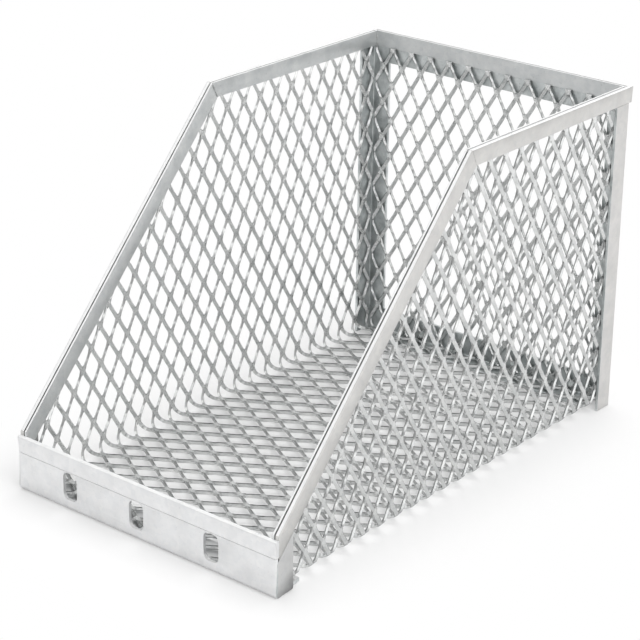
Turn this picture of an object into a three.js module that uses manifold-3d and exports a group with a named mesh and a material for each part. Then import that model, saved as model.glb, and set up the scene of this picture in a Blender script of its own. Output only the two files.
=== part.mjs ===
import * as THREE from "three";
import { mergeVertices } from "three/addons/utils/BufferGeometryUtils.js";
import Module from "manifold-3d";

const wasm = await Module();
wasm.setup();

// Open-fronted basket in millimetres: x across, +y to the back, +z up, origin under the middle.
const WIDTH = 300;
const DEPTH = 500;
const HEIGHT = 320;
const LIP_HEIGHT = 52;
const TOP_LENGTH = 250;
const GAP = 0.3;

// Rim: a thick outer bar and a thin inner strip with the sheet edge between them.
const RIM_HEIGHT = 15;
const BAR_THICKNESS = 4;
const BAR_CHAMFER = 1.2;
const GROOVE = 1.2;
const STRIP_THICKNESS = 2;

// Angle sections, rounded outside the corner and filleted inside it.
const STEEL = 3;
const CORNER_RADIUS = 4;
const ROOT_RADIUS = 2;
const CORNER_SEGMENTS = 4;
const POST_LEG = 22;
const FRONT_LEG = 37;
const BACK_LEG = 25;
const BACK_SETBACK = 3;
const BACK_RAIL_DROP = 31;

// Slots with rounded corners in the front lip.
const SLOT_WIDTH = 16.5;
const SLOT_HEIGHT = 26;
const SLOT_RADIUS = 5.5;
const SLOT_CENTRE_Z = 22.8;
const SLOT_X = [-85.5, -6, 79.5];
const SLOT_SEGMENTS = 2;

// Raised expanded metal: long way and short way of the diamond, strand face and sheet depth.
const LONG_WAY = 36.6;
const SHORT_WAY = 23;
const STRAND = 5;
const SHEET_DEPTH = 4;
const BOND_MARGIN = 3.2;
const LEAST_STUB = 0.2;
const LONGEST_STUB = 0.75;
const PARTED_STRAND = 0.975;
const BEND_RADIUS = LONG_WAY / Math.PI;
const FIRST_BOND_Y = 88.2 - DEPTH / 2;
const FIRST_BACK_BOND_X = -0.367 * WIDTH + SHORT_WAY / 2;
const FIRST_BACK_BOND_Z = 0.281 * WIDTH;

const halfWidth = WIDTH / 2;
const front = -DEPTH / 2;
const back = DEPTH / 2;
const bendY = back - TOP_LENGTH;
const stripOuter = halfWidth - BAR_THICKNESS - GROOVE;
const stripInner = stripOuter - STRIP_THICKNESS;
const rimEndY = front + BAR_THICKNESS + GAP;
const postBack = back - BACK_SETBACK;
const sheetX = halfWidth - STEEL - GAP - SHEET_DEPTH / 2;
const sheetZ = STEEL + GAP + SHEET_DEPTH / 2;
const sheetBackY = postBack - STEEL - GAP - SHEET_DEPTH / 2;
const floorBackY = sheetBackY - SHEET_DEPTH / 2 - GAP;
const wallBackY = postBack - STEEL - ROOT_RADIUS;

// Side view (y, z) of the sloped edge: direction along it and the normal that points out of the basket.
const slopeRun = new THREE.Vector2(bendY - front, HEIGHT - LIP_HEIGHT).normalize();
const slopeNormal = new THREE.Vector2(-slopeRun.y, slopeRun.x);

const ZINC_BAR = { color: 0xd7d6d2, roughness: 0.38, metalness: 0.75 };
const ZINC_STRIP = { color: 0xb9bab9, roughness: 0.42, metalness: 0.75 };
const ZINC_ANGLE = { color: 0xcfcdc8, roughness: 0.4, metalness: 0.75 };
const ZINC_SHEET = { color: 0xb4b9b8, roughness: 0.45, metalness: 0.75 };

const basket = new THREE.Group();
basket.name = "bucket_basket";

function manifoldOf(vertices, triangles) {
  const made = new wasm.Manifold(
    new wasm.Mesh({
      numProp: 3,
      vertProperties: new Float32Array(vertices),
      triVerts: new Uint32Array(triangles),
    }),
  );
  if (made.volume() > 0) return made;
  const turned = [];
  for (let i = 0; i < triangles.length; i += 3) {
    turned.push(triangles[i], triangles[i + 2], triangles[i + 1]);
  }
  return new wasm.Manifold(
    new wasm.Mesh({
      numProp: 3,
      vertProperties: new Float32Array(vertices),
      triVerts: new Uint32Array(turned),
    }),
  );
}

function add(name, body, finish) {
  const mesh = body.getMesh();
  const geometry = new THREE.BufferGeometry();
  geometry.setAttribute("position", new THREE.BufferAttribute(new Float32Array(mesh.vertProperties), 3));
  geometry.setIndex(new THREE.BufferAttribute(new Uint32Array(mesh.triVerts), 1));
  const flat = geometry.toNonIndexed();
  flat.computeVertexNormals();
  const node = new THREE.Mesh(flat, new THREE.MeshStandardMaterial(finish));
  node.name = name;
  basket.add(node);
}

// Extrudes an outline along the third axis: "side" takes (y, z) along x, "plan" takes (x, y) along z
// and "front" takes (z, x) along y.
const AXES = {
  side: [new THREE.Vector3(0, 1, 0), new THREE.Vector3(0, 0, 1), new THREE.Vector3(1, 0, 0)],
  plan: [new THREE.Vector3(1, 0, 0), new THREE.Vector3(0, 1, 0), new THREE.Vector3(0, 0, 1)],
  front: [new THREE.Vector3(0, 0, 1), new THREE.Vector3(1, 0, 0), new THREE.Vector3(0, 1, 0)],
};

function extrude(view, outline, from, to, curveSegments = 1) {
  const points = Array.isArray(outline) ? outline.map(([a, b]) => new THREE.Vector2(a, b)) : null;
  const shape = points ? new THREE.Shape(points) : outline;
  const geometry = new THREE.ExtrudeGeometry(shape, { depth: to - from, bevelEnabled: false, curveSegments });
  geometry.translate(0, 0, from);
  geometry.applyMatrix4(new THREE.Matrix4().makeBasis(...AXES[view]));
  geometry.deleteAttribute("normal");
  geometry.deleteAttribute("uv");
  const merged = mergeVertices(geometry, 1e-4);
  return manifoldOf(merged.attributes.position.array, merged.index.array);
}

function box(x0, x1, y0, y1, z0, z1) {
  const outline = [[x0, y0], [x1, y0], [x1, y1], [x0, y1]];
  return extrude("plan", outline, z0, z1);
}

// A straight bar of convex section, cut at each end by a plane.
function bar(section, origin, across, down, start, end) {
  const along = new THREE.Vector3().crossVectors(across, down);
  const vertices = [];
  const triangles = [];
  const count = section.length;
  for (const cut of [start, end]) {
    for (const [u, v] of section) {
      const base = origin.clone().addScaledVector(across, u).addScaledVector(down, v);
      const reach = cut.distanceToPoint(base) / -cut.normal.dot(along);
      vertices.push(...base.addScaledVector(along, reach).toArray());
    }
  }
  for (let i = 0; i < count; i += 1) {
    const next = (i + 1) % count;
    triangles.push(i, next, count + next, i, count + next, count + i);
    if (i > 0 && next > 0) {
      triangles.push(0, next, i, count, count + i, count + next);
    }
  }
  return manifoldOf(vertices, triangles);
}

function plane(point, normal) {
  return new THREE.Plane().setFromNormalAndCoplanarPoint(normal.clone().normalize(), point);
}

const X = new THREE.Vector3(1, 0, 0);
const Y = new THREE.Vector3(0, 1, 0);
const DOWN = new THREE.Vector3(0, 0, -1);
const slopeDown = new THREE.Vector3(0, -slopeNormal.x, -slopeNormal.y);
const corner = new THREE.Vector3(0, bendY, HEIGHT);
const mitre = new THREE.Vector3(0, slopeRun.x + 1, slopeRun.y);
const mitreStep = mitre.clone().normalize().multiplyScalar(GAP / 2);

// Side rims: a sloped length and a level length mitred at the bend, each an outer bar and an inner strip.
const barSection = [
  [0, 0],
  [BAR_THICKNESS - BAR_CHAMFER, 0],
  [BAR_THICKNESS, BAR_CHAMFER],
  [BAR_THICKNESS, RIM_HEIGHT],
  [0, RIM_HEIGHT],
];
const stripSection = [
  [0, 0],
  [STRIP_THICKNESS, 0],
  [STRIP_THICKNESS, RIM_HEIGHT],
  [0, RIM_HEIGHT],
];

function sideRim(side, sign) {
  const outward = X.clone().multiplyScalar(sign);
  const mitreBelow = plane(corner.clone().sub(mitreStep), mitre);
  const mitreAbove = plane(corner.clone().add(mitreStep), mitre);
  const lengths = [
    ["bar", barSection, halfWidth - BAR_THICKNESS, back - BAR_THICKNESS - GAP, ZINC_BAR],
    ["strip", stripSection, stripInner, stripRearY, ZINC_STRIP],
  ];
  for (const [kind, section, inset, rearY, finish] of lengths) {
    const level = corner.clone().addScaledVector(outward, inset);
    const frontCut = plane(new THREE.Vector3(0, rimEndY, 0), Y);
    const rearCut = plane(new THREE.Vector3(0, rearY, 0), Y);
    add(side + "_slope_" + kind, bar(section, level, outward, slopeDown, frontCut, mitreBelow), finish);
    add(side + "_top_" + kind, bar(section, level, outward, DOWN, mitreAbove, rearCut), finish);
  }
}

const stripRearY = back - BAR_THICKNESS - GROOVE - STRIP_THICKNESS - GAP;
sideRim("left", -1);
sideRim("right", 1);

// Front and back rims run the full width and the side rims butt against them.
const leftCut = plane(new THREE.Vector3(-halfWidth, 0, 0), X);
const rightCut = plane(new THREE.Vector3(halfWidth, 0, 0), X);
const frontRimTop = new THREE.Vector3(0, front + BAR_THICKNESS, LIP_HEIGHT);
const backRimTop = new THREE.Vector3(0, back - BAR_THICKNESS, HEIGHT);
add("front_rim_bar", bar(barSection, frontRimTop, Y.clone().negate(), DOWN, leftCut, rightCut), ZINC_BAR);
add("back_rim_bar", bar(barSection, backRimTop, Y, DOWN, leftCut, rightCut), ZINC_BAR);
const backStripY = back - BAR_THICKNESS - GROOVE;
const backStrip = box(
  -halfWidth + BAR_THICKNESS + GAP,
  halfWidth - BAR_THICKNESS - GAP,
  backStripY - STRIP_THICKNESS,
  backStripY,
  HEIGHT - RIM_HEIGHT,
  HEIGHT,
);
add("back_strip", backStrip, ZINC_STRIP);

// Outline of an angle section with its outer corner at (u, v) and its legs along signed lengths du and dv.
function angleSection(u, v, du, dv) {
  const su = Math.sign(du);
  const sv = Math.sign(dv);
  const shape = new THREE.Shape();
  shape.moveTo(u + du, v);
  shape.lineTo(u + du, v + sv * STEEL);
  shape.lineTo(u + su * (STEEL + ROOT_RADIUS), v + sv * STEEL);
  shape.quadraticCurveTo(u + su * STEEL, v + sv * STEEL, u + su * STEEL, v + sv * (STEEL + ROOT_RADIUS));
  shape.lineTo(u + su * STEEL, v + dv);
  shape.lineTo(u, v + dv);
  shape.lineTo(u, v + sv * CORNER_RADIUS);
  shape.quadraticCurveTo(u, v, u + su * CORNER_RADIUS, v);
  return shape;
}

// Front lip: a slotted angle whose level leg runs under the floor, with a short return plate at each end.
const lipTop = LIP_HEIGHT - RIM_HEIGHT - GAP;
let lip = extrude("side", angleSection(front, 0, FRONT_LEG, lipTop), -halfWidth, halfWidth, CORNER_SEGMENTS);
for (const x of SLOT_X) {
  const rise = SLOT_HEIGHT / 2 - SLOT_RADIUS;
  const reach = SLOT_WIDTH / 2 - SLOT_RADIUS;
  const corners = [[rise, -reach], [rise, reach], [-rise, reach], [-rise, -reach]];
  const slot = new THREE.Shape();
  corners.forEach(([up, across], quarter) => {
    const begin = (quarter - 1) * Math.PI / 2;
    slot.absarc(SLOT_CENTRE_Z + up, x + across, SLOT_RADIUS, begin, begin + Math.PI / 2);
  });
  lip = lip.subtract(extrude("front", slot, front - 1, front + STEEL + 1, SLOT_SEGMENTS));
}
add("front_lip_angle", lip, ZINC_BAR);

// z of the underside of the sloped rim at a given y.
function underSlope(y, drop) {
  const foot = new THREE.Vector2(front, LIP_HEIGHT).addScaledVector(slopeNormal, -drop);
  return foot.y + ((y - foot.x) * slopeRun.y) / slopeRun.x;
}

const returnFront = front + BAR_THICKNESS + GAP;
const returnRear = front + POST_LEG;
const returnOutline = [
  [returnFront, STEEL + GAP],
  [returnRear, STEEL + GAP],
  [returnRear, underSlope(returnRear, RIM_HEIGHT + GAP)],
  [returnFront, underSlope(returnFront, RIM_HEIGHT + GAP)],
];
add("left_front_return", extrude("side", returnOutline, -halfWidth, -halfWidth + STEEL), ZINC_ANGLE);
add("right_front_return", extrude("side", returnOutline, halfWidth - STEEL, halfWidth), ZINC_ANGLE);

// Back frame: an angle post in each corner, a flat rail below the rim and an angle along the base.
const postTop = HEIGHT - RIM_HEIGHT - GAP;
for (const [side, sign] of [["left", -1], ["right", 1]]) {
  const section = angleSection(sign * halfWidth, postBack, -sign * POST_LEG, -POST_LEG);
  add(side + "_back_post", extrude("plan", section, 0, postTop, CORNER_SEGMENTS), ZINC_ANGLE);
}
const railReach = halfWidth - POST_LEG - GAP;
const railBottom = HEIGHT - BACK_RAIL_DROP;
add("back_top_rail", box(-railReach, railReach, postBack - STEEL, postBack, railBottom, postTop), ZINC_ANGLE);
const sill = angleSection(postBack, 0, -BACK_LEG, BACK_LEG);
add("back_base_angle", extrude("side", sill, -railReach, railReach, CORNER_SEGMENTS), ZINC_ANGLE);

// Expanded metal. Each bond is a small tetrahedron whose front edge and back edge cross; the four strands
// that leave it start on its four faces, so one family of strands is broad in front and the other behind.
const strandRun = new THREE.Vector2(LONG_WAY, SHORT_WAY).normalize();
const halfStrand = STRAND / 2;
const ROW_STEP = LONG_WAY / 2;
const COLUMN_STEP = SHORT_WAY / 2;
const frontEdge = new THREE.Vector2(-strandRun.y, strandRun.x).multiplyScalar(halfStrand);
const backEdge = new THREE.Vector2(strandRun.y, strandRun.x).multiplyScalar(halfStrand);
const BOND_CORNERS = [
  [frontEdge.x, frontEdge.y, SHEET_DEPTH / 2],
  [-frontEdge.x, -frontEdge.y, SHEET_DEPTH / 2],
  [backEdge.x, backEdge.y, -SHEET_DEPTH / 2],
  [-backEdge.x, -backEdge.y, -SHEET_DEPTH / 2],
];
// Each strand by the step to the bond that it reaches, with the corners of the face that it leaves and the
// corners that they run to.
const STRANDS = [
  { row: 1, column: 1, from: [0, 2, 1], to: [0, 3, 1] },
  { row: 1, column: -1, from: [1, 2, 3], to: [0, 2, 3] },
  { row: -1, column: -1, from: [0, 1, 3], to: [0, 1, 2] },
  { row: -1, column: 1, from: [0, 3, 2], to: [1, 3, 2] },
];

// Distance from the nearest edge of a convex outline, positive inside it.
function edgeDistance(outline) {
  const turn = THREE.ShapeUtils.isClockWise(outline) ? -1 : 1;
  const edges = outline.map((from, i) => {
    const run = outline[(i + 1) % outline.length].clone().sub(from).normalize();
    return { from, inward: new THREE.Vector2(-run.y, run.x).multiplyScalar(turn) };
  });
  return (point) => Math.min(...edges.map(({ from, inward }) => point.clone().sub(from).dot(inward)));
}

// The bonds of some rows of a sheet that lie inside an outline, and their strands, each in a number of steps.
// A strand that leaves the outline is sheared along it. A strand to a row outside the node stops just short
// of that row's bond if the node is reaching, and is left to the other node if it isn't.
function expandedMetal({ place, outline, longOrigin, shortOrigin, rows, reaching, steps }) {
  const distance = edgeDistance(outline);
  const bounds = new THREE.Box2().setFromPoints(outline);
  const firstRow = Math.floor((bounds.min.x - longOrigin) / ROW_STEP) - 1;
  const lastRow = Math.ceil((bounds.max.x - longOrigin) / ROW_STEP) + 1;
  const firstColumn = Math.floor((bounds.min.y - shortOrigin) / COLUMN_STEP) - 1;
  const lastColumn = Math.ceil((bounds.max.y - shortOrigin) / COLUMN_STEP) + 1;
  const points = [];
  const triangles = [];
  const bonds = new Map();
  for (let row = firstRow; row <= lastRow; row += 1) {
    for (let column = firstColumn; column <= lastColumn; column += 1) {
      if ((row + column) % 2 !== 0) continue;
      const long = longOrigin + row * ROW_STEP;
      const short = shortOrigin + column * COLUMN_STEP;
      const inside = distance(new THREE.Vector2(long, short)) > BOND_MARGIN;
      const own = inside && row >= rows[0] && row <= rows[1];
      const corners = BOND_CORNERS.map(([a, b, depth]) => ({
        flat: [long, short, a, b, depth],
        edge: distance(new THREE.Vector2(long + a, short + b)),
      }));
      bonds.set(row + " " + column, { row, column, inside, own, corners, first: points.length });
      if (own) points.push(...corners.map(({ flat }) => place(...flat)));
    }
  }
  const close = (loop) => triangles.push(...loop);
  const tube = (near, far) => {
    for (let i = 0; i < near.length; i += 1) {
      const j = (i + 1) % near.length;
      triangles.push(near[i], near[j], far[j], near[i], far[j], far[i]);
    }
  };
  const along = (near, far, share) => {
    return place(...near.flat.map((value, i) => THREE.MathUtils.lerp(value, far.flat[i], share)));
  };
  const reachOf = (near, target, far) => {
    if (target.own) return 1;
    const beyond = target.row < rows[0] || target.row > rows[1];
    if (beyond && !reaching) return 0;
    if (target.inside) return PARTED_STRAND;
    const fall = near.edge - far.edge;
    return fall > 0 ? Math.min(near.edge / fall, LONGEST_STUB) : LONGEST_STUB;
  };
  for (const bond of bonds.values()) {
    if (!bond.own) continue;
    for (const { row, column, from, to } of STRANDS) {
      const target = bonds.get(bond.row + row + " " + (bond.column + column));
      if (target.own && row < 0) continue;
      const near = from.map((corner) => bond.corners[corner]);
      const far = to.map((corner) => target.corners[corner]);
      const reach = near.map((corner, i) => reachOf(corner, target, far[i]));
      let loop = from.map((corner) => bond.first + corner);
      if (Math.max(...reach) < LEAST_STUB) {
        close(loop);
        continue;
      }
      for (let step = 1; step <= steps; step += 1) {
        const joins = target.own && step === steps;
        const next = near.map((corner, i) => {
          if (joins) return target.first + to[i];
          return points.push(along(corner, far[i], (reach[i] * step) / steps)) - 1;
        });
        tube(loop, next);
        loop = next;
      }
      if (!target.own) close(loop);
    }
  }
  return largest(manifoldOf(points.flatMap((point) => point.toArray()), triangles));
}

function largest(body) {
  return body.decompose().sort((a, b) => b.volume() - a.volume())[0];
}

// The side walls and floor are one sheet bent into a U; "long" runs round the U from the middle of the floor.
const flatHalf = sheetX - BEND_RADIUS;
const bendLength = (BEND_RADIUS * Math.PI) / 2;

function roundTheU(long, short, a, b, depth) {
  const sign = Math.sign(long) || 1;
  const reach = Math.abs(long);
  const angle = Math.min(Math.max((reach - flatHalf) / BEND_RADIUS, 0), Math.PI / 2);
  const rise = Math.max(reach - flatHalf - bendLength, 0);
  const x = sign * (Math.min(reach, flatHalf) + BEND_RADIUS * Math.sin(angle));
  const z = sheetZ + BEND_RADIUS * (1 - Math.cos(angle)) + rise;
  const tangent = [Math.cos(angle), sign * Math.sin(angle)];
  const inward = [-sign * Math.sin(angle), Math.cos(angle)];
  return new THREE.Vector3(
    x + a * tangent[0] + depth * inward[0],
    short + b,
    z + a * tangent[1] + depth * inward[1],
  );
}

// Outlines on the sheet before it is bent.
const wallReach = flatHalf + bendLength - sheetZ - BEND_RADIUS;
const wallTopZ = HEIGHT - RIM_HEIGHT - GAP;
const rimDrop = RIM_HEIGHT + GAP;
const wallTopY = bendY - ((underSlope(bendY, rimDrop) - wallTopZ) * slopeRun.x) / slopeRun.y;

function wallOutline(sign) {
  return [
    new THREE.Vector2(0, rimEndY),
    new THREE.Vector2(sign * (wallReach + underSlope(rimEndY, rimDrop)), rimEndY),
    new THREE.Vector2(sign * (wallReach + wallTopZ), wallTopY),
    new THREE.Vector2(sign * (wallReach + wallTopZ), wallBackY),
    new THREE.Vector2(0, wallBackY),
  ];
}

function rectangle(long0, long1, short0, short1) {
  return [
    new THREE.Vector2(long0, short0),
    new THREE.Vector2(long1, short0),
    new THREE.Vector2(long1, short1),
    new THREE.Vector2(long0, short1),
  ];
}

const leftOutline = wallOutline(-1);
const rightOutline = wallOutline(1);
const baseOutline = rectangle(-wallReach - wallTopZ, wallReach + wallTopZ, rimEndY, floorBackY);

// The U is parted into flat pieces at the rows of bonds on each side of its bends.
const leftBend = [-1, 0];
const rightBend = [
  Math.floor((2 * flatHalf) / ROW_STEP),
  Math.ceil((2 * flatHalf + bendLength) / ROW_STEP),
];
const uPieces = [
  ["left_wall_mesh", leftOutline, [-Infinity, leftBend[0] - 1], true, 1],
  ["left_bend_mesh", baseOutline, leftBend, false, 2],
  ["floor_mesh", baseOutline, [leftBend[1] + 1, rightBend[0] - 1], true, 1],
  ["right_bend_mesh", baseOutline, rightBend, false, 2],
  ["right_wall_mesh", rightOutline, [rightBend[1] + 1, Infinity], true, 1],
];
for (const [name, outline, rows, reaching, steps] of uPieces) {
  const body = expandedMetal({
    place: roundTheU,
    outline,
    longOrigin: -flatHalf,
    shortOrigin: FIRST_BOND_Y,
    rows,
    reaching,
    steps,
  });
  add(name, body, ZINC_SHEET);
}

// The back is a separate sheet between the walls.
const backReach = sheetX - SHEET_DEPTH / 2 - GAP;
const backSheet = expandedMetal({
  place: (long, short, a, b, depth) => new THREE.Vector3(short + b, sheetBackY - depth, long + a),
  outline: rectangle(STEEL + ROOT_RADIUS + GAP, wallTopZ, -backReach, backReach),
  longOrigin: FIRST_BACK_BOND_Z,
  shortOrigin: FIRST_BACK_BOND_X,
  rows: [-Infinity, Infinity],
  reaching: false,
  steps: 1,
});
add("back_mesh", backSheet, ZINC_SHEET);

export default basket;
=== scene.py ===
import math

import bmesh
import bpy
from mathutils import Matrix, Vector, noise

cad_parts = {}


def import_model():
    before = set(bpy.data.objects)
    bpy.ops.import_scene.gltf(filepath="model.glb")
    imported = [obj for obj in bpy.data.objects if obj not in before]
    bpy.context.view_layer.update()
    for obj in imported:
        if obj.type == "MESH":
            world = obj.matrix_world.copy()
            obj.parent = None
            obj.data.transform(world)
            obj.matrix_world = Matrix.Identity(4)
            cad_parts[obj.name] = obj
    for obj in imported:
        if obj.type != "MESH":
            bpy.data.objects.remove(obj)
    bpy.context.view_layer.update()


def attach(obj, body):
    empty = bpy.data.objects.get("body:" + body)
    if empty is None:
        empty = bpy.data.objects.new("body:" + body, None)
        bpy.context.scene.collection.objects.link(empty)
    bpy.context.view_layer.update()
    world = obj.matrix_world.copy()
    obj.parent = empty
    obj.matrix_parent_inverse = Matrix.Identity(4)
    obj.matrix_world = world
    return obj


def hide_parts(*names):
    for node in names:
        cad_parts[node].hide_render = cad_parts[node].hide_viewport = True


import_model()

# Without a seed of its own, the noise takes one from the clock.
noise.seed_set(1)

# Sizes of the part in millimetres, in the frame of the CAD model.
MM = 0.001
HALF_WIDTH = 150.0
FRONT = -250.0
BACK = 250.0
HEIGHT = 320.0
LIP_HEIGHT = 52.0
BEND_Y = 0.0
RIM_HEIGHT = 15.0
BAR_THICKNESS = 4.0
GROOVE = 1.2
STRIP_THICKNESS = 2.0
STEEL = 3.0
CORNER_RADIUS = 4.0
ROOT_RADIUS = 2.0
POST_LEG = 22.0
POST_BACK = 247.0
FRONT_LEG = 37.0
BACK_LEG = 25.0
RAIL_BOTTOM = 289.0
SLOT_X = (-85.5, -6.0, 79.5)
SLOT_Z = 22.8
SLOT_WIDTH = 16.5
SLOT_HEIGHT = 26.0
SLOT_RADIUS = 5.5

# Gap between neighbours that are welded together, and how near a plane a point counts as on it.
SNUG = 0.1
TOUCH = 1e-3

SLOPE = Vector((0.0, BEND_Y - FRONT, HEIGHT - LIP_HEIGHT)).normalized()
SLOPE_DOWN = Vector((0.0, SLOPE.z, -SLOPE.y))
SLOPE_FOOT = Vector((0.0, FRONT, LIP_HEIGHT))
DOWN = Vector((0.0, 0.0, -1.0))
X = Vector((1.0, 0.0, 0.0))
Y = Vector((0.0, 1.0, 0.0))
SIDES = (("left", -1), ("right", 1))


# ---------------------------------------------------------------- materials

WHITE = (1.0, 1.0, 1.0)


def node(tree, kind, **values):
    made = tree.nodes.new(kind)
    for key, value in values.items():
        setattr(made, key, value)
    return made


def feed(tree, socket, value):
    """Links a socket to another one, or sets it to a plain value."""
    if isinstance(value, bpy.types.NodeSocket):
        tree.links.new(value, socket)
    else:
        socket.default_value = value


def ramp(tree, source, stops):
    made = node(tree, "ShaderNodeValToRGB")
    elements = made.color_ramp.elements
    while len(elements) < len(stops):
        elements.new(0.5)
    for element, (position, colour) in zip(elements, stops):
        element.position = position
        element.color = (*colour, 1.0)
    tree.links.new(source, made.inputs["Fac"])
    return made.outputs["Color"]


def textured(tree, kind, point, **inputs):
    made = node(tree, kind)
    for key, value in inputs.items():
        made.inputs[key].default_value = value
    tree.links.new(point, made.inputs["Vector"])
    return made


def mixed(tree, kind, share, first, second):
    """Blends two colours."""
    made = node(tree, "ShaderNodeMix", data_type="RGBA", blend_type=kind)
    for index, value in ((0, share), (6, first), (7, second)):
        feed(tree, made.inputs[index], value)
    return made.outputs[2]


def joined(tree, operation, first, second):
    """Joins two numbers."""
    made = node(tree, "ShaderNodeMath", operation=operation)
    feed(tree, made.inputs[0], first)
    feed(tree, made.inputs[1], second)
    return made.outputs[0]


def vectors(tree, operation, first, second=None):
    """A vector operation, which gives a number for a dot product or a length."""
    made = node(tree, "ShaderNodeVectorMath", operation=operation)
    tree.links.new(first, made.inputs[0])
    if second is not None:
        made.inputs[1].default_value = second
    return made.outputs["Value" if operation in ("DOT_PRODUCT", "LENGTH") else "Vector"]


def ranged(tree, value, start, end, low, high, kind="SMOOTHSTEP"):
    """Takes a value from start and end to low and high."""
    made = node(tree, "ShaderNodeMapRange", interpolation_type=kind)
    for key, setting in (("From Min", start), ("From Max", end), ("To Min", low), ("To Max", high)):
        made.inputs[key].default_value = setting
    tree.links.new(value, made.inputs["Value"])
    return made.outputs["Result"]


# Slant and tone of the painted shade at a return plate's foot.
FOOT_SHADE_SLANT = 0.7
FOOT_SHADE_TONE = (0.20, 0.20, 0.205)
SHEEN_SPREAD = 0.09
SKIN_DEPTH = 0.0006


def painted_foot_shade(tree, point, reach):
    """Painted shade: a ragged dark patch that rises from the lower rear corner of a return plate."""
    height = vectors(tree, "DOT_PRODUCT", point, (0.0, -FOOT_SHADE_SLANT, 1.0))
    rear = -FOOT_SHADE_SLANT * (FRONT + POST_LEG) * MM
    ragged = textured(tree, "ShaderNodeTexNoise", point, Scale=90.0, Detail=3.0).outputs["Fac"]
    level = joined(tree, "ADD", joined(tree, "MULTIPLY", ragged, -reach / 2), height)
    share = ranged(tree, level, rear - reach / 2, rear + reach, 0.0, 1.0)
    return ramp(tree, share, [(0.0, FOOT_SHADE_TONE), (1.0, WHITE)])


def zinc(name, light, dark, metallic, rough, relief, pitting=0.25, patch=55.0, foot=0.0):
    """Hot-dip galvanised steel: soft cloudy patches, faint crystals, small dark pits and a slightly lumpy skin; foot
    adds painted shade at a return plate's lower rear corner.
    """
    material = bpy.data.materials.new(name)
    material.use_nodes = True
    tree = material.node_tree
    shader = tree.nodes["Principled BSDF"]
    shader.inputs["Metallic"].default_value = metallic
    point = node(tree, "ShaderNodeTexCoord").outputs["Object"]
    clouds = textured(tree, "ShaderNodeTexNoise", point, Scale=patch, Detail=4.0, Roughness=0.6).outputs["Fac"]
    crystals = textured(tree, "ShaderNodeTexVoronoi", point, Scale=210.0).outputs["Color"]
    pits = textured(tree, "ShaderNodeTexNoise", point, Scale=620.0, Detail=3.0, Roughness=0.55).outputs["Fac"]
    skin = textured(tree, "ShaderNodeTexNoise", point, Scale=330.0, Detail=4.0, Roughness=0.55).outputs["Fac"]
    colour = ramp(tree, clouds, [(0.32, dark), (0.66, light)])
    layers = [
        ramp(tree, crystals, [(0.0, (0.93, 0.94, 0.95)), (1.0, WHITE)]),
        ramp(tree, pits, [(0.24, (1.0 - pitting,) * 3), (0.36, WHITE)]),
    ]
    # Painted shade at the foot, where foot is given.
    if foot:
        layers.append(painted_foot_shade(tree, point, foot))
    for layer in layers:
        colour = mixed(tree, "MULTIPLY", 1.0, colour, layer)
    tree.links.new(colour, shader.inputs["Base Color"])
    sheen = ranged(tree, clouds, 0.0, 1.0, rough - SHEEN_SPREAD, rough + SHEEN_SPREAD, "LINEAR")
    tree.links.new(sheen, shader.inputs["Roughness"])
    bump = node(tree, "ShaderNodeBump")
    bump.inputs["Strength"].default_value = relief
    bump.inputs["Distance"].default_value = SKIN_DEPTH
    tree.links.new(skin, bump.inputs["Height"])
    tree.links.new(bump.outputs["Normal"], shader.inputs["Normal"])
    return material


# Light and dark tone, metallic, roughness and relief, then pitting and the scale of the patches.
ZINC_BAR = zinc("zinc_bar", (0.72, 0.71, 0.69), (0.63, 0.62, 0.605), 0.85, 0.36, 0.08)
# A lit copy of the bar's zinc, painted lighter, for the front lip and the front rim.
ZINC_LIP_LIT = zinc("zinc_lip_lit", (0.88, 0.88, 0.88), (0.80, 0.80, 0.80), 0.85, 0.38, 0.08)
ZINC_STRIP = zinc("zinc_strip", (0.78, 0.79, 0.785), (0.66, 0.675, 0.675), 0.85, 0.38, 0.12)
ZINC_ANGLE = zinc("zinc_angle", (0.74, 0.725, 0.71), (0.66, 0.65, 0.635), 0.85, 0.38, 0.10)
# Its foot adds painted shade at the plate's lower rear corner.
ZINC_RETURN = zinc("zinc_return", (0.70, 0.70, 0.695), (0.62, 0.62, 0.615), 0.85, 0.36, 0.10, foot=0.023)
# Painted shade: a darker, patchy zinc for faces inside the basket and for the lip's leg.
ZINC_SHADED = zinc("zinc_shaded", (0.82, 0.845, 0.84), (0.44, 0.47, 0.47), 0.8, 0.38, 0.25, 0.6, 60.0)
ZINC_SHEET = zinc("zinc_sheet", (0.83, 0.835, 0.825), (0.62, 0.63, 0.625), 0.92, 0.24, 0.30, 0.45)
# A lighter copy of the sheet's zinc for the bonds: a painted highlight.
ZINC_BOND_HIGHLIGHT = zinc("zinc_bond_highlight", (0.88, 0.885, 0.875), (0.70, 0.705, 0.70), 0.92, 0.24, 0.35, 0.3)
# The strands' dark band: partly the rough shear cut, partly painted shade along the edge.
ZINC_TORN_AND_SHADE = zinc("zinc_torn_and_shade", (0.34, 0.35, 0.345), (0.05, 0.055, 0.055), 0.8, 0.40, 0.6, 0.7, 260.0)
# A painted highlight for the upward faces of the rims.
ZINC_TOP_HIGHLIGHT = zinc("zinc_top_highlight", (0.97, 0.97, 0.965), (0.90, 0.90, 0.895), 0.12, 0.30, 0.05)
# A painted highlight for the sheets' strand ends at the back corners.
ZINC_CORNER_HIGHLIGHT = zinc("zinc_corner_highlight", (0.98, 0.98, 0.975), (0.55, 0.56, 0.56), 0.3, 0.26, 0.3, 0.4, 200.0)
ZINC_WELD = zinc("zinc_weld", (0.78, 0.78, 0.775), (0.34, 0.35, 0.35), 0.85, 0.30, 0.5, 0.5, 160.0)


# ---------------------------------------------------------------- pieces and meshes

def piece(name, mesh, material, nodes=()):
    made = bpy.data.objects.new(name, mesh)
    bpy.context.scene.collection.objects.link(made)
    mesh.materials.append(material)
    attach(made, "root")
    if nodes:
        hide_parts(*nodes)
    return made


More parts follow.
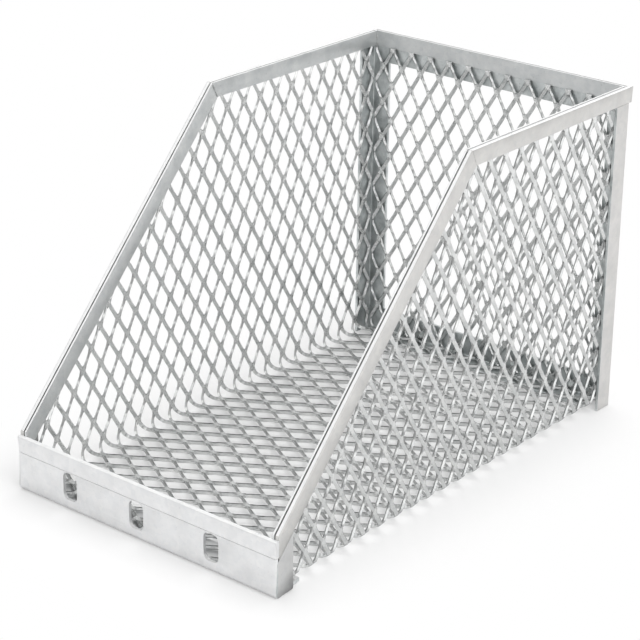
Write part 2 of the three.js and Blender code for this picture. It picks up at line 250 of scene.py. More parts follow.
def mesh_of(name, work, smooth_angle=35.0):
    """Turns a bmesh in millimetres into a mesh in metres that is smooth up to an angle."""
    bmesh.ops.recalc_face_normals(work, faces=work.faces)
    bmesh.ops.scale(work, vec=(MM, MM, MM), verts=work.verts)
    mesh = bpy.data.meshes.new(name)
    work.to_mesh(mesh)
    work.free()
    for polygon in mesh.polygons:
        polygon.use_smooth = True
    mesh.set_sharp_from_angle(angle=math.radians(smooth_angle))
    return mesh


def bridge(work, one, two, material=lambda k: 0):
    """Joins two rings of vertices by a band of faces; material(k) is the slot of the k-th face."""
    count = len(one)
    for k in range(count):
        n = (k + 1) % count
        work.faces.new((one[k], one[n], two[n], two[k])).material_index = material(k)


def closed(work, first, last):
    """Makes a solid between two rings of vertices."""
    bridge(work, first, last)
    work.faces.new(first[::-1])
    work.faces.new(last)


def prism(work, section, origin, across, down, start, end):
    """Adds a bar of a section (u across, v down), cut at each end by a plane (point, normal)."""
    along = across.cross(down)
    rings = []
    for point, normal in (start, end):
        ring = []
        for u, v in section:
            base = origin + across * u + down * v
            base = base + along * ((point - base).dot(normal) / along.dot(normal))
            ring.append(work.verts.new(base))
        rings.append(ring)
    closed(work, *rings)


def extruded(work, outline, axis, start, end):
    """Extrudes an outline along x (outline in y, z), y (outline in x, z) or z (outline in x, y)."""
    index = "xyz".index(axis)

    def at(point, along):
        return (*point[:index], along, *point[index:])
    first = [work.verts.new(at(point, start)) for point in outline]
    last = [work.verts.new(at(point, end)) for point in outline]
    closed(work, first, last)


def bevel(work, chosen, radius, segments):
    edges = [edge for edge in work.edges if chosen(edge)]
    bmesh.ops.bevel(work, geom=edges, offset=radius, segments=segments, profile=0.5, affect="EDGES")


def lies_on(edge, *tests):
    return all(all(abs(test(vert.co)) < TOUCH for test in tests) for vert in edge.verts)


def rectangle(width, height):
    return [(0.0, 0.0), (width, 0.0), (width, height), (0.0, height)]


# ---------------------------------------------------------------- rim

CROWN = 1.3
CROWN_STEPS = 4
BAR_EDGE = 0.4
BAR_END_RADIUS = 2.0
BAR_GAP = 0.05
MITRE_GAP = 0.12
UPWARD = 0.6

CORNER = Vector((0.0, BEND_Y, HEIGHT))
MITRE = (SLOPE + Y).normalized()
STRIP_BACK = BACK - BAR_THICKNESS - GROOVE - STRIP_THICKNESS
FRONT_CUT = (Vector((0.0, FRONT + BAR_THICKNESS + BAR_GAP, 0.0)), Y)
MITRE_BELOW = (CORNER - MITRE * MITRE_GAP, MITRE)
MITRE_ABOVE = (CORNER + MITRE * MITRE_GAP, MITRE)
BAR_REAR = (Vector((0.0, BACK - BAR_THICKNESS - BAR_GAP, 0.0)), Y)
STRIP_REAR = (Vector((0.0, STRIP_BACK - SNUG, 0.0)), Y)
BAR_INSET = HALF_WIDTH - BAR_THICKNESS
STRIP_INSET = BAR_INSET - GROOVE - STRIP_THICKNESS


def painted_top_highlight(made):
    """Gives the upward faces of a rim a painted highlight: a near-white zinc that is hardly metallic."""
    made.data.materials.append(ZINC_TOP_HIGHLIGHT)
    for polygon in made.data.polygons:
        polygon.material_index = int(polygon.normal.z > UPWARD)


def side_rim(name, width, inset, sign, down, start, end, material, nodes, crown):
    """One straight length of a side's rim with a crowned outer top edge and softened arrises."""
    work = bmesh.new()
    outward = X * sign
    origin = CORNER + outward * inset
    prism(work, rectangle(width, RIM_HEIGHT), origin, outward, down, start, end)
    outer = lambda co: (co - origin).dot(outward) - width
    inner = lambda co: (co - origin).dot(outward)
    top = lambda co: (co - origin).dot(down)
    lower = lambda co: (co - origin).dot(down) - RIM_HEIGHT
    rest = [(outer, lower), (inner, top), (inner, lower)]
    if crown:
        bevel(work, lambda e: lies_on(e, outer, top), crown, CROWN_STEPS)
    else:
        rest.append((outer, top))
    for pair in rest:
        bevel(work, lambda e: lies_on(e, *pair), BAR_EDGE, 2)
    painted_top_highlight(piece(name, mesh_of(name, work), material, nodes))


for side, sign in SIDES:
    for kind, width, inset, rear, material, crown in (
        ("bar", BAR_THICKNESS, BAR_INSET, BAR_REAR, ZINC_BAR, CROWN),
        ("strip", STRIP_THICKNESS, STRIP_INSET, STRIP_REAR, ZINC_STRIP, 0.0),
    ):
        lengths = (("slope", SLOPE_DOWN, FRONT_CUT, MITRE_BELOW), ("top", DOWN, MITRE_ABOVE, rear))
        for run, down, start, end in lengths:
            side_rim(
                f"{side}_{run}_rim_{kind}", width, inset, sign, down, start, end,
                material, [f"{side}_{run}_{kind}"], crown,
            )


def cross_rim(name, top, outward, width, half, material, nodes, crown):
    """A level rim across the basket."""
    work = bmesh.new()
    ends = (-half, half)
    cuts = [(Vector((end, 0.0, 0.0)), X) for end in ends]
    prism(work, rectangle(width, RIM_HEIGHT), top, outward, DOWN, *cuts)
    outer = lambda co: (co - top).dot(outward) - width
    roof = lambda co: (co - top).z
    if crown:
        bevel(work, lambda e: lies_on(e, outer, roof), crown, CROWN_STEPS)
    for end in ends:
        face = lambda co: co.x - end
        bevel(work, lambda e: lies_on(e, face, outer), BAR_END_RADIUS if crown else BAR_EDGE, 3)
    painted_top_highlight(piece(name, mesh_of(name, work), material, nodes))


cross_rim(
    "front_rim", Vector((0.0, FRONT + BAR_THICKNESS, LIP_HEIGHT)), -Y, BAR_THICKNESS,
    HALF_WIDTH, ZINC_LIP_LIT, ["front_rim_bar"], CROWN,
)
cross_rim(
    "back_rim", Vector((0.0, BACK - BAR_THICKNESS, HEIGHT)), Y, BAR_THICKNESS,
    HALF_WIDTH, ZINC_BAR, ["back_rim_bar"], CROWN,
)
cross_rim(
    "back_rim_strip", Vector((0.0, STRIP_BACK, HEIGHT)), Y, STRIP_THICKNESS,
    BAR_INSET, ZINC_STRIP, ["back_strip"], 0.0,
)


# ---------------------------------------------------------------- angles and plates

ANGLE_STEPS = 6
ANGLE_EDGE = 0.5
LIP_EDGE = 0.45
LIP_JOINT = 0.35
LIP_END_RADIUS = 2.6
LEG_START = FRONT + STEEL + 1.2
LEG_END = HALF_WIDTH - STEEL - 0.2
LEG_TAPER = 3.0
SLOT_STEPS = 8
SLOT_MARGIN = 2.0
RETURN_SETBACK = 1.6
RETURN_STEPS = 4
RETURN_FOOT = 1.0
RETURN_FOOT_RADIUS = 2.4
FRAME_TOP = HEIGHT - RIM_HEIGHT - SNUG
RAIL_REACH = HALF_WIDTH - POST_LEG - SNUG
INWARD = 0.3


def angle_outline(u, v, du, dv):
    """Outline of an angle with its outer corner at (u, v) and legs of signed lengths du and dv."""
    su, sv = math.copysign(1.0, du), math.copysign(1.0, dv)
    turns = [0.5 * math.pi * i / ANGLE_STEPS for i in range(ANGLE_STEPS + 1)]
    points = [(u + du, v), (u + du, v + sv * STEEL)]
    for turn in turns:
        points.append((
            u + su * (STEEL + ROOT_RADIUS * (1 - math.sin(turn))),
            v + sv * (STEEL + ROOT_RADIUS * (1 - math.cos(turn))),
        ))
    points += [(u + su * STEEL, v + dv), (u, v + dv)]
    for turn in turns:
        points.append((
            u + su * CORNER_RADIUS * (1 - math.cos(turn)),
            v + sv * CORNER_RADIUS * (1 - math.sin(turn)),
        ))
    return points


def soften(made, width, angle):
    modifier = made.modifiers.new("soften", "BEVEL")
    modifier.width = width * MM
    modifier.segments = 2
    modifier.limit_method = "ANGLE"
    modifier.angle_limit = math.radians(angle)


def applied(made):
    """Applies an object's modifiers."""
    bpy.context.view_layer.update()
    graph = bpy.context.evaluated_depsgraph_get()
    mesh = bpy.data.meshes.new_from_object(made.evaluated_get(graph))
    made.modifiers.clear()
    made.data = mesh


def slot_cutter():
    """The three slots with rounded corners as one mesh."""
    work = bmesh.new()
    rise, reach = SLOT_HEIGHT / 2 - SLOT_RADIUS, SLOT_WIDTH / 2 - SLOT_RADIUS
    corners = ((reach, rise), (-reach, rise), (-reach, -rise), (reach, -rise))
    for x in SLOT_X:
        outline = []
        for quarter, (across, up) in enumerate(corners):
            for i in range(SLOT_STEPS + 1):
                turn = math.pi / 2 * (quarter + i / SLOT_STEPS)
                outline.append((
                    x + across + SLOT_RADIUS * math.cos(turn),
                    SLOT_Z + up + SLOT_RADIUS * math.sin(turn),
                ))
        extruded(work, outline, "y", FRONT - SLOT_MARGIN, FRONT + STEEL + SLOT_MARGIN)
    made = bpy.data.objects.new("slot_cutter", mesh_of("slot_cutter", work))
    bpy.context.scene.collection.objects.link(made)
    return made


def front_lip():
    work = bmesh.new()
    top = LIP_HEIGHT - RIM_HEIGHT - LIP_JOINT
    extruded(work, angle_outline(FRONT, 0.0, FRONT_LEG, top), "x", -HALF_WIDTH, HALF_WIDTH)
    face = lambda co: co.y - FRONT
    for sign in (-1, 1):
        end = lambda co: co.x - sign * HALF_WIDTH
        bevel(work, lambda e: lies_on(e, end, face), LIP_END_RADIUS, 4)
    for vert in work.verts:
        if vert.co.y > LEG_START:
            tip = min((vert.co.y - FRONT) / FRONT_LEG, 1.0)
            vert.co.x *= (LEG_END - LEG_TAPER * tip) / HALF_WIDTH
    made = piece("front_lip", mesh_of("front_lip", work), ZINC_LIP_LIT, ["front_lip_angle"])
    cutter = slot_cutter()
    cut = made.modifiers.new("slots", "BOOLEAN")
    cut.operation = "DIFFERENCE"
    cut.solver = "EXACT"
    cut.object = cutter
    soften(made, LIP_EDGE, 50.0)
    applied(made)
    bpy.data.objects.remove(cutter)
    # The lip's leg, except its upward faces, gets the darker zinc of painted shade.
    made.data.materials.append(ZINC_SHADED)
    for polygon in made.data.polygons:
        if polygon.center.y > LEG_START * MM and polygon.normal.z < UPWARD:
            polygon.material_index = 1


front_lip()


def under_slope(y, drop):
    """Height of the underside of the sloped rim at y."""
    foot = SLOPE_FOOT + SLOPE_DOWN * drop
    return foot.z + (y - foot.y) * SLOPE.z / SLOPE.y


def front_return(side, sign):
    """The plate that closes an end of the lip; its front edge follows the lip's bend."""
    work = bmesh.new()
    near, rear = FRONT + RETURN_SETBACK, FRONT + POST_LEG
    outline = [(y, under_slope(y, RIM_HEIGHT + SNUG)) for y in (rear, near)]
    reach = math.asin(1.0 - RETURN_SETBACK / CORNER_RADIUS)
    for i in range(RETURN_STEPS + 1):
        turn = reach * (1 - i / RETURN_STEPS)
        outline.append((
            FRONT + CORNER_RADIUS - CORNER_RADIUS * math.sin(turn),
            CORNER_RADIUS - CORNER_RADIUS * math.cos(turn),
        ))
    outline.append((rear, 0.0))
    inner, outer = sign * (HALF_WIDTH - STEEL), sign * HALF_WIDTH
    extruded(work, outline[::-1], "x", min(inner, outer), max(inner, outer))

    def at_foot(edge):
        low = lies_on(edge, lambda co: co.x - outer, lambda co: max(co.z - RETURN_FOOT, 0.0))
        return low and edge.verts[0].co.y != edge.verts[1].co.y
    bevel(work, at_foot, RETURN_FOOT_RADIUS, 5)
    name = f"{side}_return_plate"
    made = piece(name, mesh_of(name, work), ZINC_RETURN, [f"{side}_front_return"])
    soften(made, ANGLE_EDGE, 60.0)
    applied(made)


for side, sign in SIDES:
    front_return(side, sign)


def frame_piece(name, node_name, outline, axis, start, end, inward):
    """A piece of the back frame; the faces that look into the basket get painted shade, a darker zinc."""
    work = bmesh.new()
    extruded(work, outline, axis, start, end)
    made = piece(name, mesh_of(name, work), ZINC_ANGLE, [node_name])
    soften(made, ANGLE_EDGE, 40.0)
    applied(made)
    made.data.materials.append(ZINC_SHADED)
    for polygon in made.data.polygons:
        polygon.material_index = int(polygon.normal.dot(Vector(inward)) > INWARD)


for side, sign in SIDES:
    frame_piece(
        f"{side}_post", f"{side}_back_post",
        angle_outline(sign * HALF_WIDTH, POST_BACK, -sign * POST_LEG, -POST_LEG),
        "z", 0.0, FRAME_TOP, (-sign, -1.0, 0.0),
    )
RAIL_OUTLINE = [
    (POST_BACK - STEEL, RAIL_BOTTOM), (POST_BACK, RAIL_BOTTOM),
    (POST_BACK, FRAME_TOP), (POST_BACK - STEEL, FRAME_TOP),
]
frame_piece("back_rail", "back_top_rail", RAIL_OUTLINE, "x", -RAIL_REACH, RAIL_REACH, (0.0, -1.0, 0.0))
SILL_OUTLINE = angle_outline(POST_BACK, 0.0, -BACK_LEG, BACK_LEG)
frame_piece("back_sill", "back_base_angle", SILL_OUTLINE, "x", -RAIL_REACH, RAIL_REACH, (0.0, -1.0, 1.0))


# ---------------------------------------------------------------- expanded metal

# From bond to bond along a ribbon and across the ribbons, then the strand's and the bond's own sizes.
RUN = 11.5
STACK = 18.3
STRAND_WIDTH = 3.4
STRAND_THICKNESS = 2.4
BOND_WAIST = 4.8
BOND_TIP = 0.7
BOND_HEIGHT = 3.7
ARRIS = 0.28
# Width of the dark band of shear cut and painted shade.
TORN_AND_SHADE_WIDTH = 1.0
STRAND_LEAN = math.radians(45.0)
BOND_LEAN = math.radians(8.0)
FINE_RINGS = (0.16, 0.3, 0.43, 0.57, 0.7, 0.84)
PLAIN_RINGS = (0.18, 0.5, 0.82)

# Material slots of a sheet after the first, which is the plain strand: the dark band of shear cut and painted shade,
# the bonds' painted highlight and the back corners' painted highlight.
TORN_AND_SHADE, BOND, CORNER_HIGHLIGHT = 1, 2, 3


def lattice(runs, stacks, lean, fine, torn_and_shade_edge):
    """Expanded metal laid flat: x along the ribbons, y across them and z the depth. Two ribbons meet in each bond,
    and each strand leans about its own axis, so that its upper edge stands out on the side that lean points to.
    torn_and_shade_edge(stack, side) tells on which edge of a strand's upper face the dark band lies: the rough shear
    cut, with painted shade along it."""
    work = bmesh.new()
    w, t, e, h = STRAND_WIDTH / 2, STRAND_THICKNESS / 2, ARRIS, BOND_HEIGHT
    slope = lean * math.tan(BOND_LEAN)
    ring = [(-w + e, -t), (-w, -t + e), (-w, t - e), (-w + e, t), (w - e, t), (w, t - e), (w, -t + e), (w - e, -t)]
    lower = [(-h + e, -t), (-h, -t + e), (-h, t - e), (-h + e, t)]
    upper = [(h - e, t), (h, t - e), (h, -t + e), (h - e, -t)]
    seam = [(0.0, t), (0.0, t - e), (0.0, -t + e), (0.0, -t)]

    def bond_vert(run, stack, where, offset):
        across, depth = offset
        half = (BOND_WAIST + (BOND_TIP - BOND_WAIST) * abs(across) / h) / 2
        return work.verts.new((run + where * half, stack + across, depth + across * slope))

    ends = {}
    for i in range(*runs):
        for j in range(*stacks):
            if (i + j) % 2:
                continue
            made = {}
            for where in (-1, 0, 1):
                middle = seam if where else (seam[0], seam[3])
                made[where] = [
                    [bond_vert(i * RUN, j * STACK, where, offset) for offset in part]
                    for part in (lower, upper, middle)
                ]
            loops = {where: [*low, mid[0], *up, mid[-1]] for where, (low, up, mid) in made.items()}
            for near, far in ((-1, 0), (0, 1)):
                bridge(work, loops[near], loops[far], lambda k: BOND)
            ends[i, j] = {
                (where, half): ([*low, *mid] if half < 0 else [*mid[::-1], *up])
                for where, (low, up, mid) in made.items() if where for half in (-1, 1)
            }
    rest = (BOND_WAIST + BOND_TIP) / 4
    for (i, j), own in ends.items():
        for side in (1, -1):
            target = ends.get((i + side, j + 1))
            if not target:
                continue
            start = Vector((i * RUN + side * rest, j * STACK + h / 2, h / 2 * slope))
            finish = Vector(((i + side) * RUN - side * rest, (j + 1) * STACK - h / 2, -h / 2 * slope))
            along = (finish - start).normalized()
            above = Vector((-along.y * side, abs(along.x), 0.0)).normalized()
            wide = above * math.cos(STRAND_LEAN) + Vector((0, 0, lean * math.sin(STRAND_LEAN)))
            wide.normalize()
            thick = Vector((0, 0, math.cos(STRAND_LEAN))) - above * lean * math.sin(STRAND_LEAN)
            section, torn_and_shade_side = list(ring), torn_and_shade_edge(j, side)
            if torn_and_shade_side < 0:
                section[3] = (-w + TORN_AND_SHADE_WIDTH, t)
            elif torn_and_shade_side > 0:
                section[4] = (w - TORN_AND_SHADE_WIDTH, t)
            band = {-1: 2, 0: None, 1: 4}[torn_and_shade_side]
            loops = [own[side, 1]]
            for share in FINE_RINGS if fine(j) else PLAIN_RINGS:
                centre = start.lerp(finish, share)
                loops.append([work.verts.new(centre + wide * u + thick * v) for u, v in section])
            loops.append(target[-side, -1])
            for near, far in zip(loops, loops[1:]):
                bridge(work, near, far, lambda k: TORN_AND_SHADE if k == band else 0)
    return work


ZINC_PITCH = 0.31
ZINC_UNEVEN = 0.22


def uneven(work):
    """Moves the skin a little, as the zinc lies unevenly on the strands."""
    for vert in work.verts:
        vert.co += noise.noise_vector(vert.co * ZINC_PITCH) * ZINC_UNEVEN


def trimmed(work, planes):
    """Cuts a flat lattice to an outline given by (point, outward normal) in its plane and closes the cut strands."""
    for (long, short), (a, b) in planes:
        geometry = work.verts[:] + work.edges[:] + work.faces[:]
        bmesh.ops.bisect_plane(
            work, geom=geometry, dist=1e-4, plane_co=(long, short, 0.0), plane_no=(a, b, 0.0), clear_outer=True,
        )
        loose = [vert for vert in work.verts if not vert.link_faces]
        bmesh.ops.delete(work, geom=loose, context="VERTS")
    open_edges = [edge for edge in work.edges if edge.is_boundary]
    bmesh.ops.holes_fill(work, edges=open_edges, sides=0)


def sheet(name, work, nodes, near_corner):
    """Makes a sheet's piece; its faces near the back corners get a painted highlight, brighter than the rest."""
    made = piece(name, mesh_of(name, work, 32.0), ZINC_SHEET, nodes)
    for material in (ZINC_TORN_AND_SHADE, ZINC_BOND_HIGHLIGHT, ZINC_CORNER_HIGHLIGHT):
        made.data.materials.append(material)
    for polygon in made.data.polygons:
        if near_corner(polygon.center / MM):
            polygon.material_index = CORNER_HIGHLIGHT


# The bent sheet of floor and side walls: middle of the sheet, its bends, its ends and how far it goes into the rim.
SHEET_X = 144.7
SHEET_Z = 5.3
BEND_LENGTH = STACK
FLAT_HALF = SHEET_X - 2 * STACK / math.pi
BEND_RADIUS = 8.0
BEND_LEAD = SHEET_X - BEND_RADIUS - FLAT_HALF
BEND_PATH = 2 * BEND_LEAD + BEND_RADIUS * math.pi / 2
FIRST_BOND_Y = -161.8
WALL_FOOT = SHEET_Z + SHEET_X - FLAT_HALF
WALL_REACH = FLAT_HALF + BEND_LENGTH - WALL_FOOT
UNDER_RIM = 4.0
SHEET_FRONT = FRONT + 4.4
SHEET_REAR = 239.4
# Where the painted highlight near the back corners starts.
SHEET_HIGHLIGHT_Y = 230.5
FLATTENED_OVER = 7.0
FLATTENED_BY = 0.45
BEND_STACKS = (-2, -1, 0, 13, 14, 15, 16)
FLOOR_STACKS = range(0, 14)
RIGHT_BEND_STACK = 14


def rim_depth(y, z):
    """How far a point of a side wall is up inside the rim."""
    top = z - (HEIGHT - RIM_HEIGHT)
    slope = RIM_HEIGHT - (Vector((0.0, y, z)) - SLOPE_FOOT).dot(SLOPE_DOWN)
    return max(top, slope)


def round_the_u(flat):
    """Bends a point of the flat sheet into the floor or a side wall, and flattens the sheet where the rim holds it."""
    run, long, depth = flat
    long -= FLAT_HALF
    y = FIRST_BOND_Y + run
    sign = 1.0 if long > 0 else -1.0
    reach = abs(long)
    if reach <= FLAT_HALF:
        return Vector((long, y, SHEET_Z + depth))
    turned = reach - FLAT_HALF
    if turned < BEND_LENGTH:
        path = turned * BEND_PATH / BEND_LENGTH - BEND_LEAD
        angle = min(max(path / BEND_RADIUS, 0.0), math.pi / 2)
        radius = BEND_RADIUS - depth
        x = SHEET_X - BEND_RADIUS + radius * math.sin(angle) + min(path, 0.0)
        z = SHEET_Z + BEND_RADIUS - radius * math.cos(angle) + max(path - BEND_RADIUS * math.pi / 2, 0.0)
        return Vector((sign * x, y, z))
    z = WALL_FOOT + turned - BEND_LENGTH
    inside = min(max((rim_depth(y, z) + FLATTENED_OVER) / FLATTENED_OVER, 0.0), 1.0)
    return Vector((sign * (SHEET_X - depth * (1.0 - FLATTENED_BY * inside)), y, z))


def u_torn_and_shade_edge(j, side):
    """The dark band of shear cut and painted shade is on the lower edge in the floor, on the upper edge in the right
    wall and absent in the left.
    """
    if j in FLOOR_STACKS:
        return -1
    return int(j > RIGHT_BEND_STACK)


def u_sheet():
    first = int(-(WALL_REACH + HEIGHT - FLAT_HALF) // STACK) - 1
    last = int((WALL_REACH + HEIGHT + FLAT_HALF) // STACK) + 2
    left = int((FRONT - FIRST_BOND_Y) // RUN) - 1
    right = int((BACK - FIRST_BOND_Y) // RUN) + 2
    work = lattice((left, right), (first, last), -1.0, lambda j: j in BEND_STACKS, u_torn_and_shade_edge)
    top = WALL_REACH + HEIGHT - RIM_HEIGHT + UNDER_RIM
    foot = SLOPE_FOOT + SLOPE_DOWN * (RIM_HEIGHT - UNDER_RIM)
    trimmed(work, [
        ((SHEET_FRONT - FIRST_BOND_Y, 0.0), (-1.0, 0.0)),
        ((SHEET_REAR - FIRST_BOND_Y, 0.0), (1.0, 0.0)),
        ((0.0, FLAT_HALF + top), (0.0, 1.0)),
        ((0.0, FLAT_HALF - top), (0.0, -1.0)),
        ((foot.y - FIRST_BOND_Y, FLAT_HALF + WALL_REACH + foot.z), (-SLOPE.z, SLOPE.y)),
        ((foot.y - FIRST_BOND_Y, FLAT_HALF - WALL_REACH - foot.z), (-SLOPE.z, -SLOPE.y)),
    ])
    uneven(work)
    for vert in work.verts:
        vert.co = round_the_u(vert.co)
    nodes = ["left_wall_mesh", "left_bend_mesh", "floor_mesh", "right_bend_mesh", "right_wall_mesh"]
    sheet("u_sheet", work, nodes, lambda co: co.y > SHEET_HIGHLIGHT_Y and co.z > WALL_FOOT)


# The back sheet: place of one bond, middle of the sheet in y and its edges.
BACK_BOND_X = -98.6
BACK_BOND_Z = 84.3
BACK_SHEET_Y = 241.7
BACK_SHEET_FOOT = 4.0
BACK_SHEET_TOP = HEIGHT - RIM_HEIGHT + 0.8
BACK_SHEET_HALF = 142.0
# Where the back sheet's painted corner highlight starts.
BACK_SHEET_HIGHLIGHT_X = 135.5


def back_sheet():
    first = int(-BACK_BOND_Z // STACK) - 1
    last = int((HEIGHT - BACK_BOND_Z) // STACK) + 2
    left = int((-HALF_WIDTH - BACK_BOND_X) // RUN) - 1
    right = int((HALF_WIDTH - BACK_BOND_X) // RUN) + 2
    work = lattice((left, right), (first, last), 1.0, lambda j: False, lambda j, side: int(side < 0))
    trimmed(work, [
        ((0.0, BACK_SHEET_FOOT - BACK_BOND_Z), (0.0, -1.0)),
        ((0.0, BACK_SHEET_TOP - BACK_BOND_Z), (0.0, 1.0)),
        ((-BACK_SHEET_HALF - BACK_BOND_X, 0.0), (-1.0, 0.0)),
        ((BACK_SHEET_HALF - BACK_BOND_X, 0.0), (1.0, 0.0)),
    ])
    uneven(work)
    for vert in work.verts:
        run, stack, depth = vert.co
        vert.co = (BACK_BOND_X + run, BACK_SHEET_Y - depth, BACK_BOND_Z + stack)
    sheet("back_sheet", work, ["back_mesh"], lambda co: abs(co.x) > BACK_SHEET_HIGHLIGHT_X)


u_sheet()
back_sheet()


# ---------------------------------------------------------------- welds

BEAD_PITCH = 2.2
BEAD_SIDES = 8
BEAD_LUMPS = 0.22


def bead(work, start, end, radius):
    """A lumpy weld bead along a line: rings that swell and shrink with each ripple."""
    start, end = Vector(start), Vector(end)
    along = (end - start).normalized()
    across = along.orthogonal().normalized()
    other = along.cross(across)
    length = (end - start).length
    count = max(int(length / BEAD_PITCH * 4), 8)
    previous = None
    for i in range(count + 1):
        share = i / count
        centre = start.lerp(end, share)
        ripple = 0.82 + 0.18 * abs(math.cos(math.pi * share * length / BEAD_PITCH))
        close = min(1.0, 4.0 * min(share, 1 - share) + 0.12) ** 0.5
        loop = []
        for k in range(BEAD_SIDES):
            turn = 2 * math.pi * k / BEAD_SIDES
            point = centre + (across * math.cos(turn) + other * math.sin(turn)) * radius * ripple * close
            loop.append(work.verts.new(point + noise.noise_vector(point * 0.7) * radius * BEAD_LUMPS))
        if previous:
            bridge(work, previous, loop)
        else:
            work.faces.new(loop[::-1])
        previous = loop
    work.faces.new(previous)


def welds(name, lines):
    work = bmesh.new()
    for start, end, radius in lines:
        bead(work, start, end, radius)
    piece(name, mesh_of(name, work, 60.0), ZINC_WELD)


RIM_BOTTOM = HEIGHT - RIM_HEIGHT
MITRE_DOWN = (SLOPE_DOWN + DOWN).normalized()
MITRE_LOW = CORNER + MITRE_DOWN * RIM_HEIGHT / MITRE_DOWN.dot(DOWN)

# Each line is a bead's start, end and radius; the ends stop a little short of the joint that the bead fills.
for side, sign in SIDES:
    inner = sign * (STRIP_INSET - 0.1)
    groove = sign * (BAR_INSET - 0.7)
    welds(f"{side}_mitre_weld", [
        ((inner, CORNER.y, CORNER.z - 2.0), (inner, MITRE_LOW.y, MITRE_LOW.z + 0.6), 0.9),
        ((groove, CORNER.y - 1.6, HEIGHT - 1.5), (groove, CORNER.y + 1.6, HEIGHT - 1.2), 0.9),
    ])
    head, behind = sign * (HALF_WIDTH - 1.6), POST_BACK + 0.4
    before = STRIP_BACK - 0.2
    welds(f"{side}_back_weld", [
        ((head, behind, RIM_BOTTOM + 0.4), (head - sign * 16.0, behind, RIM_BOTTOM + 0.2), 1.5),
        ((inner, before, HEIGHT - 1.0), (inner, before, RIM_BOTTOM + 0.5), 1.0),
    ])
    joint, face = sign * (HALF_WIDTH - POST_LEG), POST_BACK - 0.1
    welds(f"{side}_post_weld", [
        ((joint, face, RAIL_BOTTOM + 1.0), (joint, face, RIM_BOTTOM - 1.0), 1.0),
        ((joint, face, 3.0), (joint, face, BACK_LEG - 1.0), 1.0),
    ])


# ---------------------------------------------------------------- stage, light and camera

FLOOR_REACH = 9000
FLOOR_DROP = 0.0005
SHADOW_REACH = 0.11
SHADOW_LIFT = 0.30

# Where reflections see a darker floor, in metres: axis, start and end, and the share of dark at each.
DARK_BANDS = (("X", -0.15, 0.15, 0.0, 0.12), ("X", 0.30, 0.55, 1.0, 0.0), ("Y", -0.26, -0.20, 0.0, 1.0))


def floor_material():
    """Pale floor that keeps the shadow near the object and runs out to plain white."""
    material = bpy.data.materials.new("floor")
    material.use_nodes = True
    tree = material.node_tree
    shader = tree.nodes["Principled BSDF"]
    shader.inputs["Roughness"].default_value = 0.9
    shader.inputs["Specular IOR Level"].default_value = 0.1
    point = node(tree, "ShaderNodeTexCoord").outputs["Object"]
    grain = textured(tree, "ShaderNodeTexNoise", point, Scale=3.0, Detail=2.0).outputs["Fac"]
    pale = ramp(tree, grain, [(0.3, (0.93, 0.93, 0.93)), (0.7, (0.95, 0.95, 0.95))])
    paths = node(tree, "ShaderNodeLightPath")
    place = node(tree, "ShaderNodeSeparateXYZ")
    tree.links.new(point, place.inputs[0])
    dark = paths.outputs["Is Glossy Ray"]
    for axis, *band in DARK_BANDS:
        dark = joined(tree, "MULTIPLY", dark, ranged(tree, place.outputs[axis], *band))
    tree.links.new(mixed(tree, "MIX", dark, pale, (0.0, 0.0, 0.0, 1.0)), shader.inputs["Base Color"])
    white = node(tree, "ShaderNodeEmission")
    white.inputs["Strength"].default_value = 1.0
    beyond = vectors(tree, "SUBTRACT", vectors(tree, "ABSOLUTE", point), (HALF_WIDTH * MM, BACK * MM, 0.0))
    distance = vectors(tree, "LENGTH", vectors(tree, "MAXIMUM", beyond, (0.0, 0.0, 0.0)))
    away = ranged(tree, distance, 0.0, SHADOW_REACH, SHADOW_LIFT, 1.0)
    seen = joined(tree, "MAXIMUM", paths.outputs["Is Camera Ray"], paths.outputs["Is Transmission Ray"])
    blend = node(tree, "ShaderNodeMixShader")
    tree.links.new(joined(tree, "MULTIPLY", away, seen), blend.inputs[0])
    tree.links.new(shader.outputs[0], blend.inputs[1])
    tree.links.new(white.outputs[0], blend.inputs[2])
    tree.links.new(blend.outputs[0], tree.nodes["Material Output"].inputs["Surface"])
    return material


def floor():
    work = bmesh.new()
    corners = ((-1, -1), (1, -1), (1, 1), (-1, 1))
    work.faces.new([work.verts.new((x * FLOOR_REACH, y * FLOOR_REACH, 0)) for x, y in corners])
    mesh = mesh_of("floor", work)
    mesh.materials.append(floor_material())
    made = bpy.data.objects.new("floor", mesh)
    made.location.z = -FLOOR_DROP
    bpy.context.scene.collection.objects.link(made)


floor()

# Light on the object, light of the room in reflections, and the room's brighter patches: the direction, where the
# patch starts and is full as a cosine, and its light.
FILL = 0.55
ROOM = 0.37
PATCHES = (
    ((0.93, 0.05, 0.30), 0.70, 0.90, 1.0),
    ((-0.10, 0.98, 0.15), 0.45, 0.95, 1.0),
    ((-0.60, -0.45, 0.66), 0.78, 0.95, 1.25),
    ((0.08, -0.40, 0.91), 0.78, 0.97, 0.62),
    ((0.90, -0.25, 0.32), 0.88, 0.965, 1.35),
)


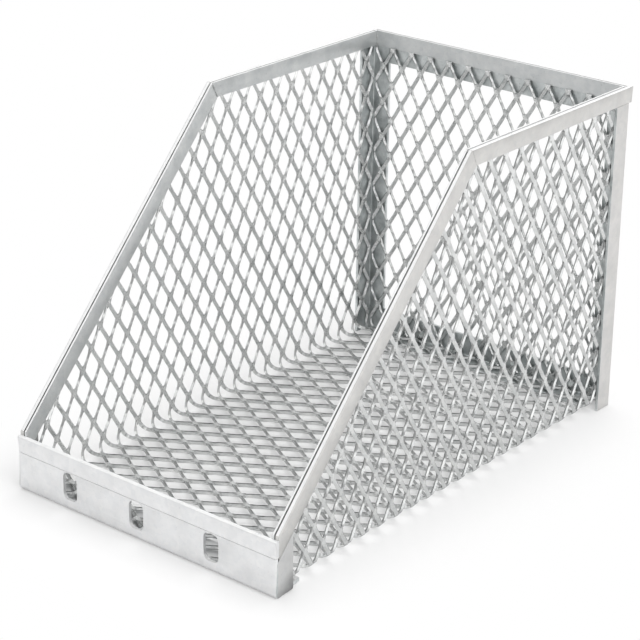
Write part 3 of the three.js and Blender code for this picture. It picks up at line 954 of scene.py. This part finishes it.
def world():
    """White to the camera, a plain fill on the object, and in reflections a pale room with brighter patches."""
    made = bpy.data.worlds.new("studio")
    bpy.context.scene.world = made
    made.use_nodes = True
    tree = made.node_tree
    paths = node(tree, "ShaderNodeLightPath")
    seen = joined(tree, "MAXIMUM", paths.outputs["Is Camera Ray"], paths.outputs["Is Transmission Ray"])
    direction = node(tree, "ShaderNodeTexCoord").outputs["Generated"]
    bright = 0.0
    for toward, start, end, amount in PATCHES:
        facing = vectors(tree, "DOT_PRODUCT", direction, Vector(toward).normalized())
        bright = joined(tree, "MAXIMUM", bright, ranged(tree, facing, start, end, 0.0, amount - ROOM))
    glossy = node(tree, "ShaderNodeMix", data_type="FLOAT")
    tree.links.new(paths.outputs["Is Glossy Ray"], glossy.inputs[0])
    glossy.inputs[2].default_value = FILL
    tree.links.new(joined(tree, "ADD", bright, ROOM), glossy.inputs[3])
    background = tree.nodes["Background"]
    background.inputs["Color"].default_value = (1.0, 1.0, 1.0, 1.0)
    tree.links.new(joined(tree, "MAXIMUM", seen, glossy.outputs[0]), background.inputs["Strength"])


world()

LAMP_TARGET = Vector((0.0, 0.0, 0.1))


def softbox(name, location, size, energy):
    data = bpy.data.lights.new(name, "AREA")
    data.shape = "DISK"
    data.size = size
    data.energy = energy
    made = bpy.data.objects.new(name, data)
    made.location = location
    made.rotation_euler = (LAMP_TARGET - Vector(location)).to_track_quat("-Z", "Y").to_euler()
    made.visible_glossy = False
    bpy.context.scene.collection.objects.link(made)


softbox("key", (2.6, -0.8, 2.0), 2.6, 50.0)
softbox("top", (-0.4, 0.8, 2.8), 3.0, 40.0)

# The fitted camera. Its place is in basket widths, from the middle of the lip's foot.
SENSOR = 36.0
FOCAL_PER_WIDTH = 2185.089 / 640
AZIMUTH = math.radians(39.3634)
ELEVATION = math.radians(22.8317)
ROLL = math.radians(0.7367)
AIM = Vector((0.0, 0.65, 0.4))
AIM_RIGHT = 0.08519398
AIM_UP = 0.06903294
DISTANCE = 6.491733
WIDTH = 0.3


def camera():
    data = bpy.data.cameras.new("camera")
    data.sensor_width = SENSOR
    data.lens = FOCAL_PER_WIDTH * SENSOR
    data.clip_end = 60.0
    made = bpy.data.objects.new("camera", data)
    level = Vector((math.cos(AZIMUTH), math.sin(AZIMUTH), 0.0))
    toward = Vector((math.sin(AZIMUTH), -math.cos(AZIMUTH), 0.0)) * math.cos(ELEVATION)
    toward.z = math.sin(ELEVATION)
    upward = toward.cross(level)
    right = level * math.cos(ROLL) + upward * math.sin(ROLL)
    up = upward * math.cos(ROLL) - level * math.sin(ROLL)
    place = AIM + right * AIM_RIGHT + up * AIM_UP + toward * DISTANCE
    place = place * WIDTH + Vector((0.0, FRONT * MM, 0.0))
    matrix = Matrix((right, up, toward)).transposed().to_4x4()
    matrix.translation = place
    made.matrix_world = matrix
    bpy.context.scene.collection.objects.link(made)
    bpy.context.scene.camera = made


camera()
bpy.context.scene.view_settings.view_transform = "Standard"
